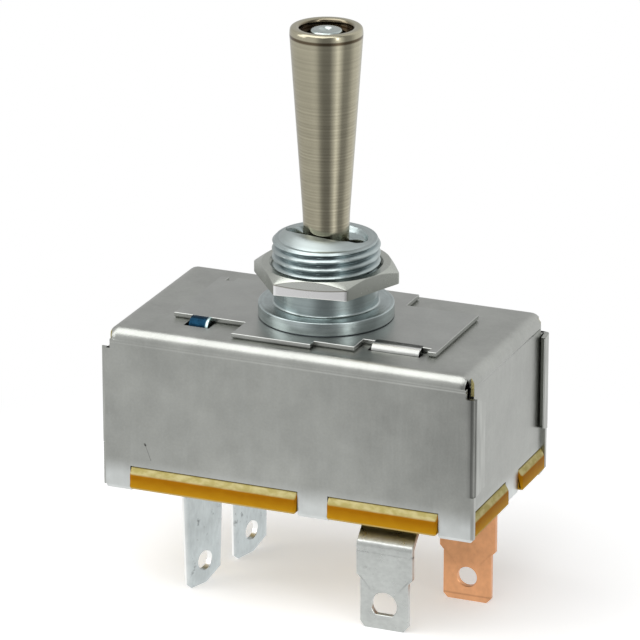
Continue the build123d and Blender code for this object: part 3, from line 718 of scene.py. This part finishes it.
def wrappedWall(earLength, earSlope):
    # A long wall and its two ears: a path in plan whose corners and free ends are quadratic curves, and
    # levels that slope on the ears
    out, sheet, lip = case["halfLength"], case["sheet"], case["earLip"]
    cornerX, cornerY = case["corner"]
    front, reach = case["halfWidth"], out - cornerX
    flat = merged(np.linspace(-reach, reach, 41), *case["lugs"], [-case["reliefX"], case["reliefX"]])
    flat = flat[np.abs(flat) <= reach + 1e-6]
    wall = np.column_stack([flat, np.full(len(flat), -front)])
    t = np.linspace(0, 1, 13)[1:, None]
    bend = curve([reach, -front], [out, -front], [out, cornerY - front], t)
    tip = earLength - front
    ear = np.column_stack([np.full(5, out), np.linspace(cornerY - front, tip - lip, 6)[1:]])
    end = curve([out, tip - lip], [out, tip], [out - lip, tip], t)
    right = np.concatenate([bend, ear, end[::3]])
    path = np.concatenate([right[::-1] * [-1, 1], wall, right])
    along = np.gradient(path, axis=0)
    normal = np.stack([along[:, 1], -along[:, 0]], axis=-1)
    normal /= np.linalg.norm(normal, axis=1, keepdims=True)
    share = np.clip((path[:, 1:] - (cornerY - front)) / (earLength - cornerY), 0, 1)
    low, high, tall = case["earBottom"], case["earTop"], case["earTop"] - case["earBottom"]
    levels = [case["bottom"], case["boardTop"], low, high, case["top"] - case["fold"]]
    rows = np.concatenate([np.linspace(a, b, n, endpoint=False) for a, b, n in
                           zip(levels[:-1], levels[1:], (3, 3, 12, 2))] + [levels[-1:]])
    z = np.tile(rows, (len(path), 1))
    z -= share * earSlope * np.clip((z - low) / tall, 0, 1)
    z += share * case["earTuck"] * np.clip((high - z) / tall, 0, 1)
    outer = np.concatenate([np.repeat(path[:, None], len(rows), axis=1), z[..., None]], axis=-1)
    away = np.concatenate([normal, np.zeros((len(path), 1))], axis=1)[:, None, :]
    x, level = halfway(path[:, 0]), halfway(rows)
    onLug = np.any([between(x, *lug) for lug in case["lugs"]], axis=0)
    keep = (np.abs(x) <= case["reliefX"])[:, None] | between(level, low, high)[None, :]
    keep &= onLug[:, None] | (level > case["boardTop"])[None, :]
    inner = outer - sheet * away
    inner[..., 1] = np.minimum(inner[..., 1], tip)
    return sheetShell(outer, inner, keep)


def flatWall(x, z):
    # A flat stretch of the front wall between two places on x and two levels
    gx, gz = np.meshgrid(np.linspace(*x, 3), np.linspace(*z, 3), indexing="ij")
    outer = np.stack([gx, np.full_like(gx, -case["halfWidth"]), gz], axis=-1)
    return sheetShell(outer, outer + [0, case["sheet"], 0])


def endWall():
    # The end wall, a flat sheet with a lug between its two notches
    fold = case["halfWidth"] - case["fold"]
    y = merged(np.linspace(*case["endSpan"], 13), case["endLug"], [-fold, fold])
    z = np.concatenate([np.linspace(case["bottom"], case["boardTop"], 3)[:-1],
                        np.linspace(case["boardTop"], case["earTop"], 9), [case["top"] - case["fold"]]])
    gy, gz = np.meshgrid(y, z, indexing="ij")
    outer = np.stack([np.full_like(gy, case["endFace"]), gy, gz], axis=-1)
    keep = between(halfway(y), *case["endLug"])[:, None] | (halfway(z) > case["boardTop"])[None, :]
    keep &= ~((np.abs(halfway(y)) > fold)[:, None] & (z[1:] > case["earTop"] + 0.01)[None, :])
    return sheetShell(outer, outer - [case["sheet"], 0, 0], keep)


def clinchFoot(low, high, wall, reach):
    # The end of a lug: a quarter circle from the wall to under the board
    turn = np.radians(np.linspace(0, 90, 8))
    centre = np.add([-wall, case["bottom"]], case["clinchCentre"])
    bend = centre - case["clinchBend"] * np.column_stack([np.cos(turn), np.sin(turn)])
    path = np.concatenate([bend, [[reach - wall, bend[-1, 1]]]])
    return barShell(path, low, high, case["sheet"], case["clinchEdge"])


def buildCase():
    # The long walls differ in their ears; the rest is one half and the same again half a turn round
    half = [endWall()]
    for reach in case["stubs"]:
        span = sorted((math.copysign(case["reliefX"], reach), reach))
        half.append(flatWall(span, (case["bottom"], case["earBottom"])))
    for lug in case["lugs"]:
        half.append(clinchFoot(*np.clip(lug, *case["clinchSpan"]), case["halfWidth"], case["clinch"]))
    half.append(moved(clinchFoot(*case["endLug"], case["endFace"], case["endClinch"]), turn=90))
    walls = [wrappedWall(*case["frontEar"]), moved(wrappedWall(*case["backEar"]), turn=180)]
    makePiece("case_sheet", "base", ["case"], [caseTop()] + walls + bothWays(half), caseZinc)


buildCase()

# Mounting plate

plate = {"top": -1.75, "sheet": 0.7, "half": 17.7, "shallow": 6.7, "deep": 11.0, "middle": 9.75,
         "corner": 7.9, "cornerStart": 16.6, "tab": (-8.1, 2.4, 7.7), "flange": (9.2, 15.5),
         "flangeFace": 8.15, "flangeBend": 1.0, "flangeRoot": 1.0, "tongue": (-15.2, -12.6),
         "tongueBend": 1.5, "tongueRoot": 0.04, "legEnd": -3.75, "edge": 0.06, "underEdge": 0.2,
         "hole": 6.1}


def bentLeg(span, start, bend, root):
    # A strip that leaves the plate's edge, which it overlaps by its root, and follows a quarter circle down
    turn = np.radians(np.linspace(90, 180, 12))
    centre = np.array([-start, plate["top"] - bend])
    path = centre + (bend - plate["sheet"] / 2) * np.column_stack([np.cos(turn), np.sin(turn)])
    path = np.concatenate([[[root - start, path[0, 1]]], path, [[path[-1, 0], plate["legEnd"]]]])
    return barShell(path, *span, plate["sheet"], plate["edge"])


def buildPlate():
    # The outline's back half is its front half turned half round, but reaches out to the flange's face, where
    # the front flange is bent from the plate
    p = plate
    start = p["flangeFace"] - p["flangeBend"]
    (left, step, right), (near, far) = p["tab"], p["flange"]
    front = np.array([(-p["half"], p["shallow"]), (left, p["shallow"]), (left, p["deep"]), (step, p["deep"]),
                      (step, p["middle"]), (right, p["middle"]), (right, p["shallow"]),
                      (near, p["shallow"]), (near, start), (far, start), (far, p["shallow"]),
                      (p["cornerStart"], p["shallow"]), (p["cornerStart"], p["corner"]),
                      (p["half"], p["corner"])]) * [1, -1]
    back = -front
    back[8:10, 1] = p["flangeFace"]
    shells = [slabShell(np.concatenate([front, back]), p["top"] - p["sheet"], p["top"], p["edge"],
                        p["underEdge"], p["hole"]),
              bentLeg(p["flange"], start, p["flangeBend"], p["flangeRoot"])]
    for (low, high), face in ((p["flange"], p["flangeFace"]), (p["tongue"], p["shallow"])):
        # The photograph shows no bends along the back edge, so its legs are bent down sharply
        deep, face = face - p["sheet"], face - 0.02
        leg = [(-high, deep), (-low, deep), (-low, face), (-high, face)]
        shells.append(slabShell(leg, p["legEnd"], p["top"] - 0.1, p["edge"]))
    tongue = bentLeg(p["tongue"], p["shallow"], p["tongueBend"], p["tongueRoot"])
    makePiece("mounting_plate_sheet", "base", ["mounting_plate"], shells, plateZinc)
    makePiece("mounting_plate_tongue", "base", [], [tongue], tongueBlue)


buildPlate()

# Bushing

bushing = {"bore": 4.05, "foot": 6.7, "footBottom": -3.65, "footTop": -3.05, "neck": 6.0, "collar": 8.5,
           "collarBottom": -1.75, "shoulder": 7.1, "shank": 6.5, "fillet": 0.6, "crest": 6.745,
           "threadStart": 2.6, "runOut": 0.8, "pitch": 1.058, "depth": 0.5, "nose": 8.35, "chamfer": 0.45,
           "mouth": 5.9, "domeTop": 4.3, "rise": 1.12, "gateFrom": -15.0, "gateTo": 35.0, "gateBack": 150.0,
           "bowl": 5.2, "bowlDepth": 1.35, "slotHalf": 5.2, "slotWide": 3.05, "slotEdge": 0.12,
           "chamber": 4.7, "chamberTop": 5.5, "throat": 3.35, "throatSpan": (1.8, 2.2), "boreTop": -0.5}


def buildBushing():
    # A ring whose section changes with the angle: the thread climbs with it, the mouth follows the slot's
    # outline, and the rim is the nose's height plus the gate's rise over a dome, less a bowl where it is low
    b = bushing
    angle = circle(360)[:, None]
    low = roundCorners([(b["bore"], b["footBottom"]), (b["foot"], b["footBottom"]), (b["foot"], b["footTop"]),
                        (b["neck"], b["footTop"]), (b["neck"], b["collarBottom"]),
                        (b["collar"], b["collarBottom"]), (b["collar"], 0.0), (b["shoulder"], 0.0),
                        (b["shank"], 0.0), (b["shank"], b["threadStart"] - 0.2)],
                       [0, 0.1, 0.1, 0, 0, 0.15, 0.18, 0, b["fillet"], 0])
    z = np.linspace(b["threadStart"] - 0.19, b["nose"] - 0.02, 96)[None, :]
    phase = (z / b["pitch"] - angle / (2 * math.pi)) % 1.0
    wave = np.clip(np.abs(phase * 2 - 1) * 1.25 - 0.1, 0, 1)
    fade = np.clip((z - b["threadStart"] + 0.19) / b["runOut"], 0, 1)
    thread = b["shank"] + (b["crest"] - b["shank"]) * fade - b["depth"] * fade * (1 - wave)
    thread = np.minimum(thread, b["crest"] - np.clip(z - (b["nose"] - b["chamfer"]), 0, 1))
    rimOut = b["crest"] - b["chamfer"] + 0.02
    share = np.array([0, 0.2, 0.5, 0.8, 1.0])[None, :]
    rim = rimOut + (b["mouth"] - rimOut) * share
    c, s = np.cos(angle), np.abs(np.sin(angle))
    sideWall = b["slotWide"] / np.maximum(s, 1e-6)
    endX = b["slotHalf"] - b["slotWide"]
    endWallR = endX * np.abs(c) + np.sqrt(np.maximum(b["slotWide"] ** 2 - (endX * s) ** 2, 0))
    slotR = np.where(sideWall * np.abs(c) < endX, sideWall, endWallR)
    part = np.linspace(0, 1, 29)[None, 1:]
    inR = b["mouth"] + (slotR + b["slotEdge"] - b["mouth"]) * part
    near = -np.degrees(np.arctan2(np.sin(angle), np.cos(angle)))
    gate = np.clip((near - b["gateFrom"]) / (b["gateTo"] - b["gateFrom"]), 0, 1)
    gate = gate * gate * (3 - 2 * gate) * (1 - np.clip((-near - b["gateBack"]) / 25, 0, 1))
    gate = np.where(near < -b["gateBack"], 1 - np.clip((near + 180) / (180 - b["gateBack"]), 0, 1), gate)
    rise = b["rise"] * gate * (0.7 + 0.3 * np.clip((near - 40) / 80, 0, 1))

    def height(radius):
        # The gate's lip swells towards the lever on the near side; the far side falls like a bowl
        dome = np.clip((b["mouth"] - radius) / (b["mouth"] - b["domeTop"]), 0, 1)
        bowl = np.clip((b["bowl"] - radius) / (b["bowl"] - b["slotWide"]), 0, 1)
        bowl = 0.6 * bowl + 0.4 * np.clip((b["bowl"] - radius) / 0.35, 0, 1)
        return b["nose"] + rise * np.sin(dome * math.pi / 2) ** 1.2 - b["bowlDepth"] * (1 - gate) * bowl

    def beside(*parts):
        # Parts of the section in order, each given once or for each angle
        parts = [np.broadcast_to(part, (len(angle), np.shape(part)[-1])) for part in parts]
        return np.concatenate(parts, axis=1)

    lipR = slotR + np.array([[0.035, 0.0]])
    lipZ = height(slotR) - np.array([[0.035, b["slotEdge"]]])
    inside = roundCorners([(0, b["chamberTop"]), (b["chamber"], b["chamberTop"]),
                           (b["throat"], b["throatSpan"][1]), (b["throat"], b["throatSpan"][0]),
                           (b["bore"], b["boreTop"])], [0, 0.2, 0.3, 0.2, 0])[1:]
    radius = beside(low[:, 0], thread, rim, inR, lipR, slotR, inside[:, 0])
    z = beside(low[:, 1], z, height(rim), height(inR), lipZ, [b["chamberTop"]], inside[:, 1])
    makePiece("bushing_threaded", "base", ["bushing"], [ringShell(radius, z)],
              bushingZinc, 30.0)


buildBushing()

# Nut

nut = {"flats": 16.15, "height": 2.2, "lift": 3.0, "turn": 8.0, "bore": 6.795, "boreChamfer": (0.25, 0.3),
       "chamferAngle": 30.0, "sharp": 140.0, "edge": 0.1, "round": 0.03}


def buildNut():
    # The outer radius is a power mean over the six flats, which rounds the corners a little;
    # the top falls away outside the flats' circle at the chamfer's angle
    flats = np.radians(nut["turn"] + 30 + 60 * np.arange(6))
    facing = np.clip(np.cos(circle(360)[:, None] - flats[None, :]), 0, None)
    flat = nut["flats"] / 2
    out = flat / (facing ** nut["sharp"]).sum(axis=1) ** (1 / nut["sharp"])
    fall = np.clip(out - flat + 0.05, 0, None) * math.tan(math.radians(nut["chamferAngle"]))
    e, r, h, bore, (under, over) = nut["edge"], nut["round"], nut["height"], nut["bore"], nut["boreChamfer"]
    section = [(bore, under), (bore + under, 0), (out - e, 0), (out - r, r), (out, e), (out, h - fall - e),
               (out - r, h - fall - r), (out - e, h - fall + r), (flat - 0.05, h), (bore + over, h),
               (bore, h - over)]
    radius, height = (np.stack(np.broadcast_arrays(*part), axis=1) for part in zip(*section))
    makePiece("hex_nut_chamfered", "nut", ["hex_nut"],
              [ringShell(radius, height + nut["lift"])], nutZinc, 18.0)


buildNut()

# Lever

lever = {"foot": 6.6, "footRadius": 2.86, "footHeight": 3.9, "topRadius": 4.53, "top": 34.7,
         "crest": 35.45, "mouth": 3.3, "recess": 34.55, "wideBore": 2.45, "bore": 1.5, "springFloor": 17.0,
         "head": 2.0, "headTop": 35.1, "headThick": 0.8, "dimple": 0.95, "dimpleDepth": 0.4, "stem": 1.45,
         "neck": 2.2, "neckTop": 6.55, "ball": 4.0, "ballHeight": -0.5, "arm": 3.0, "armEnd": -8.0,
         "armBore": 1.6, "armFloor": -2.0}


def buildSleeve():
    # A closed profile of (radius, height) turned about Z, its corners quadratic curves
    v = lever
    outside = roundCorners([(v["bore"], v["foot"]), (v["footRadius"], v["foot"]),
                            (v["footRadius"], v["foot"] + v["footHeight"]),
                            (v["topRadius"], v["top"] - 0.1), (v["topRadius"] - 0.1, v["crest"]),
                            (v["mouth"], v["crest"]), (v["mouth"], v["recess"])],
                           [0, 0.25, 3.0, 0.3, 0.75, 0.5, 0], steps=9)
    inside = [(v["wideBore"], v["recess"]), (v["wideBore"], v["springFloor"]),
              (v["bore"], v["springFloor"])]
    makePiece("lever_sleeve_turned", "sleeve", ["lever_sleeve"],
              [ringShell(*np.concatenate([outside, inside]).T, 200)], nickel)


def buildRod():
    # A profile turned about Z: the arm and its bore, the ball and the head's hollow as circle arcs, and
    # the stem between them
    v = lever
    bottom = v["headTop"] - v["headThick"]
    curvature = (v["dimple"] ** 2 + v["dimpleDepth"] ** 2) / (2 * v["dimpleDepth"])
    r = np.linspace(v["dimple"], 0, 8)
    dip = curvature - np.sqrt(curvature ** 2 - r ** 2)
    hollow = np.column_stack([r, v["headTop"] - v["dimpleDepth"] + dip])
    ball = np.radians(np.linspace(-41, 56, 14))
    ball = v["ball"] * np.column_stack([np.cos(ball), np.sin(ball)]) + [0, v["ballHeight"]]
    lower = [(0, v["armFloor"]), (v["armBore"], v["armFloor"]), (v["armBore"], v["armEnd"]),
             (v["arm"], v["armEnd"])]
    upper = roundCorners([(v["neck"], v["neckTop"]), (v["stem"], v["neckTop"]), (v["stem"], bottom),
                          (v["head"], bottom), (v["head"], v["headTop"]),
                          (v["dimple"] + 0.05, v["headTop"])], [0, 0, 0, 0.1, 0.5, 0])
    makePiece("lever_rod_turned", "lever", ["lever_rod"],
              [turnedShell(np.concatenate([lower, ball, upper, hollow]))], rodSteel)


buildSleeve()
buildRod()

# Terminal board

board = {"halfX": 23.5, "halfY": 12.55, "bottom": -23.3, "top": -20.45, "edge": 0.05, "proud": 0.55,
         "chamfer": 0.95, "gap": 0.05, "endRound": 0.35, "inner": 1.6,
         "tabs": ((-21.0, 1.6), (5.6, 20.2)), "endTabs": ((-12.6, -0.3), (4.2, 12.6))}


def tabShell(low, high, wall):
    # A tab's section in (y, z), carried along x between two ends, where it shrinks by a quarter circle
    gap, rounding = board["gap"], board["endRound"]
    face, inner, top = -wall - board["proud"], board["inner"] - wall, board["top"] - gap
    section = roundCorners([(inner, board["bottom"]), (face, board["bottom"]),
                            (face, board["top"] - board["chamfer"]), (-wall, top), (inner, top)],
                           [0, 0.15, 0.3, 0.15, 0], steps=4)
    step = rounding * (1 - np.cos(np.radians(np.linspace(0, 90, 6))))
    x = np.concatenate([low + gap + step, high - gap - step[::-1]])
    shrink = rounding - np.sqrt(np.clip(rounding ** 2 - (rounding - step) ** 2, 0, None))
    flat = np.stack([inset(section[::-1], d) for d in (*shrink, *shrink[::-1])])
    along = np.broadcast_to(x[:, None, None], flat.shape[:2] + (1,))
    return tubeShell(np.concatenate([along, flat], axis=-1))


def buildBoard():
    # A plate, and tabs in the notches of the case, one half and the same again half a turn round
    outline = np.array([(-1, -1), (1, -1), (1, 1), (-1, 1)]) * [board["halfX"], board["halfY"]]
    half = [tabShell(*tab, case["halfWidth"]) for tab in board["tabs"]]
    half += [moved(tabShell(*tab, case["endFace"]), turn=90) for tab in board["endTabs"]]
    shells = [slabShell(outline, board["bottom"], board["top"], board["edge"])] + bothWays(half)
    makePiece("terminal_board_sheet", "base", ["terminal_board"], shells, boardAmber)


buildBoard()

# Blades

blade = {"sheet": 0.8, "half": 3.175, "tip": -37.3, "near": (0.6, 0.6), "far": (0.6, 0.6),
         "shoulderHalf": 3.7, "shoulder": -30.3, "shoulderCut": 0.55, "turn": 0, "jog": 0.0, "jogStart": 1.0,
         "bend": 1.1, "bendStart": 1.6, "reach": 7.0, "lap": 0.15, "footNear": 3.7, "hole": 1.25,
         "holeFlat": 9.0, "holeZ": -34.1, "holeRim": 0.06, "edge": 0.08, "bevel": (0.08, 0.08),
         "bevelStep": 0.15, "pointStep": 0.3, "crease": 25.0}
leftBlade = {**blade, "shoulder": None, "bevel": (0.6, 0.26), "footNear": 1.6, "slot": "tin",
             "paint": tinPale}
blades = {
    "right_front": {**blade, "at": (12.9, -12.2), "jog": 2.6, "reach": 7.4, "hole": 1.7, "holeFlat": 1.3,
                    "near": (0.6, 0.75), "far": (0.6, 0.75), "slot": "tin", "paint": tinGrey},
    "right_back": {**blade, "at": (19.1, 0.3), "reach": 6.9, "hole": 1.3, "slot": "copper", "paint": copper},
    "left_front": {**leftBlade, "at": (-13.75, -7.5), "turn": -108, "half": 3.2, "near": (2.7, 1.4),
                   "far": (0.9, 0.75)},
    "left_back": {**leftBlade, "at": (-12.25, 3.85), "turn": -104, "half": 3.45, "near": (2.7, 1.3),
                  "far": (0.9, 0.7)},
}


def bladeFlat(b, top):
    # The flat blade as a ring round its hole: each point of the outline is joined to the hole's edge
    # in the same direction, and the section goes round the edge, across the back and through the hole
    near, far, (wide, deep) = b["near"], b["far"], b["bevel"]
    w, n = b["shoulderHalf"], b["half"]
    corners = [(-n, b["tip"] + near[1]), (near[0] - n, b["tip"]), (n - far[0], b["tip"]),
               (n, b["tip"] + far[1])]
    if b["shoulder"]:
        cut = b["shoulder"] - b["shoulderCut"]
        corners = [(-w, b["shoulder"]), (-n, cut), *corners, (n, cut), (w, b["shoulder"])]
    corners = np.array([(w, top), (-w, top), *corners])
    sides = np.linalg.norm(np.roll(corners, -1, axis=0) - corners, axis=1)

    def drawn(distance):
        # The outline moved inwards, with as many points along each side at every distance
        turns = inset(corners, distance)
        return np.concatenate([np.linspace(start, end, max(2, int(side / b["pointStep"])), endpoint=False)
                               for start, end, side in zip(turns, np.roll(turns, -1, axis=0), sides)])

    outline = drawn(0.0)
    centre = np.array([0, b["holeZ"]])
    ray = outline - centre
    ray /= np.linalg.norm(ray, axis=1, keepdims=True)
    reach = np.minimum(b["hole"], b["holeFlat"] / np.maximum(-ray[:, 1], 1e-6))
    reach = np.where(ray[:, 1] < 0, reach, b["hole"])[:, None]
    t, rim = b["sheet"] / 2, b["holeRim"]
    half = [(centre + ray * (reach + rim * part), level) for part, level in ((0, t - rim), (1, t), (3, t))]
    half += [(drawn(wide + b["bevelStep"]), t), (drawn(wide), t), (outline, t - deep)]
    layers = half + [(flat, -depth) for flat, depth in half[::-1]]
    grid = np.stack([np.column_stack([flat[:, 0], np.full(len(flat), depth), flat[:, 1]])
                     for flat, depth in layers], axis=1)
    return grid.reshape(-1, 3), gridQuads(grid.shape, True, True).tolist()


def buildBlade(name, b):
    # The flat blade and a foot that is bent under the board, with a jog between them where there is one;
    # a blade without shoulders stands with its whole width at the case's lower edge
    jog, footZ = b["jog"], case["bottom"] - b["sheet"] / 2
    line = [(0, footZ - b["bendStart"]), (0, footZ), (b["reach"], footZ)]
    if jog:
        line = [(0, footZ - jog - b["jogStart"]), (0, footZ - jog), (jog, footZ), (b["reach"], footZ)]
    reach = (b["bend"] - b["sheet"] / 2) * (math.tan(math.radians(22.5)) if jog else 1.0)
    path = roundCorners(line, [0] + [reach] * (len(line) - 2) + [0], steps=9)
    top = line[0][1] + b["lap"] if b["shoulder"] else case["bottom"]
    shells = [bladeFlat(b, top), barShell(path, -b["shoulderHalf"], b["footNear"], b["sheet"], b["edge"])]
    shells = [moved(shell, (*b["at"], 0), b["turn"]) for shell in shells]
    makePiece("blade_" + name, "base", ["terminal_" + name], shells, b["paint"], b["crease"])


for bladeName, bladeValues in blades.items():
    buildBlade(bladeName, bladeValues)

# Hidden and half-hidden CAD pieces, given their finishes

plainFinishes = {
    "nylon": {"name": "nylon", "colour": (0.75, 0.72, 0.64), "rough": 0.5, "metal": 0.0},
    "steel": {"name": "bright steel", "colour": (0.42, 0.42, 0.42), "rough": 0.3, "metal": 1.0},
    "spring_steel": {"name": "spring wire", "colour": (0.25, 0.25, 0.26), "rough": 0.35, "metal": 1.0},
    "bridge_copper": {"name": "bridge strip", "colour": (0.50, 0.24, 0.13), "rough": 0.35, "metal": 1.0},
    "silver_contact": {"name": "contact silver", "colour": (0.55, 0.55, 0.53), "rough": 0.3, "metal": 1.0},
}
plainPaints = {slot: Paint(v["name"], Base_Color=(*v["colour"], 1.0), Roughness=v["rough"],
                           Metallic=v["metal"]) for slot, v in plainFinishes.items()}
for part in frame["record"]["subparts"]:
    finish, cadNode = plainPaints.get(part["material_slot"]), frame["nodes"][part["node"]]
    if finish and not cadNode.hide_render:
        cadNode.data.materials.clear()
        cadNode.data.materials.append(finish.material)
print("finishes given")

# Stage, light and camera

studio = {
    "azimuth": 22.5, "elevation": 19.95, "distance": 0.6, "lens": 271.8, "aimRight": -0.78, "aimUp": -2.44,
    "floor": -37.3, "floorHalf": 3.0, "floorColour": (0.86, 0.86, 0.86), "nearFloor": 50.0, "farFloor": 85.0,
    "nearLevel": 1.0, "cameraLift": 0.4, "ambient": 0.3,
    "lamps": {"overhead panel": ((-0.15, -0.3, 0.75), (1.2, 0.9), 6.0),
              "right strip": ((0.62, -0.40, 0.22), (0.12, 0.5), 0.5),
              "left panel": ((-0.65, -0.35, 0.25), (0.4, 0.5), 1.0)},
    "panorama": ((-180, 0.6), (-120, 0.72), (-60, 0.76), (-45, 0.8), (-34, 0.72), (-22, 0.38), (-10, 0.27),
                 (12, 0.27), (27, 0.75), (38, 1.3), (50, 0.75), (60, 0.36), (80, 0.4), (104, 0.85),
                 (135, 0.97), (180, 0.6))}


def studioLevel(nodes, vector):
    # How bright the studio is in each direction round the object: a ramp over the angle from the
    # camera's side, which is dim, to the pale panels left and right of it and the backdrop
    x, y, z = nodes.axes(vector)
    turn = x.math("ARCTAN2", x, 0.0 - y) * (0.5 / math.pi) + (1.5 - studio["azimuth"] / 360)
    turn = turn.math("FRACT", turn)
    peak = max(level for angle, level in studio["panorama"])
    stops = [((angle + 180) / 360, (level / peak,) * 3) for angle, level in studio["panorama"]]
    return nodes.ramp(turn, stops) * peak


def buildFloor():
    # Matt and pale for light, a white that keeps the shadow for the camera, and the studio's levels in
    # reflections
    z, half = studio["floor"] * mm, studio["floorHalf"]
    mesh = bpy.data.meshes.new("floor")
    corners = [(-half, -half, z), (half, -half, z), (half, half, z), (-half, half, z)]
    mesh.from_pydata(corners, [], [(0, 1, 2, 3)])
    plane = added("floor", mesh)
    paint = Paint("pale floor", Base_Color=(*studio["floorColour"], 1.0), Roughness=0.95)
    here = paint.node("ShaderNodeTexCoord", output="Object")
    distance = paint.node("ShaderNodeVectorMath", {"operation": "LENGTH"}, {0: here}, output=1)
    far = distance.smooth(studio["nearFloor"] * mm, studio["farFloor"] * mm)
    level = studioLevel(paint, here) * far + (1.0 - far) * studio["nearLevel"]
    glossy = paint.node("ShaderNodeLightPath", output="Is Glossy Ray")
    camera = paint.node("ShaderNodeLightPath", output="Is Camera Ray")
    shine = paint.node("ShaderNodeEmission", None, {"Color": level})
    white = paint.node("ShaderNodeEmission")
    paint.feed(paint.shader.inputs["Emission Color"], camera * studio["cameraLift"])
    paint.shader.inputs["Emission Strength"].default_value = 1.0
    matt = Wire(paint, paint.shader.outputs[0])
    lit = paint.node("ShaderNodeMixShader", None, {0: camera * far, 1: matt, 2: white})
    mixed = paint.node("ShaderNodeMixShader", None, {0: glossy, 1: lit, 2: shine})
    paint.feed(paint.tree.nodes["Material Output"].inputs["Surface"], mixed)
    mesh.materials.append(paint.material)


def buildWorld():
    # A dim even light for matt surfaces, white for the camera, and the studio's levels in reflections
    world = bpy.data.worlds.new("studio")
    bpy.context.scene.world = world
    world.use_nodes = True
    nodes = Nodes(world.node_tree)
    direction = nodes.node("ShaderNodeTexCoord", output="Generated")
    glossy = nodes.node("ShaderNodeLightPath", output="Is Glossy Ray")
    camera = nodes.node("ShaderNodeLightPath", output="Is Camera Ray")
    level = studioLevel(nodes, direction) * glossy + camera + (1.0 - glossy - camera) * studio["ambient"]
    nodes.feed(world.node_tree.nodes["Background"].inputs["Color"], level)


def softLight(name, place, size, power):
    # A rectangle of light that faces the origin
    lamp = bpy.data.lights.new(name, "AREA")
    lamp.shape = "RECTANGLE"
    lamp.size, lamp.size_y = size
    lamp.energy = power
    added(name, lamp, place, -Vector(place))


def buildCamera():
    # Looks from its azimuth and elevation at a point a little beside and below the origin
    a, e = math.radians(studio["azimuth"]), math.radians(studio["elevation"])
    back = Vector((math.sin(a) * math.cos(e), -math.cos(a) * math.cos(e), math.sin(e)))
    right = Vector((math.cos(a), math.sin(a), 0))
    aim = (right * studio["aimRight"] + back.cross(right) * studio["aimUp"]) * mm
    view = bpy.data.cameras.new("camera")
    view.lens = studio["lens"]
    view.sensor_width = 36
    bpy.context.scene.camera = added("camera", view, aim + back * studio["distance"], -back)


buildFloor()
buildWorld()
for lampName, lampValues in studio["lamps"].items():
    softLight(lampName, *lampValues)
buildCamera()
bpy.context.scene.view_settings.view_transform = "Standard"
print("stage ready")
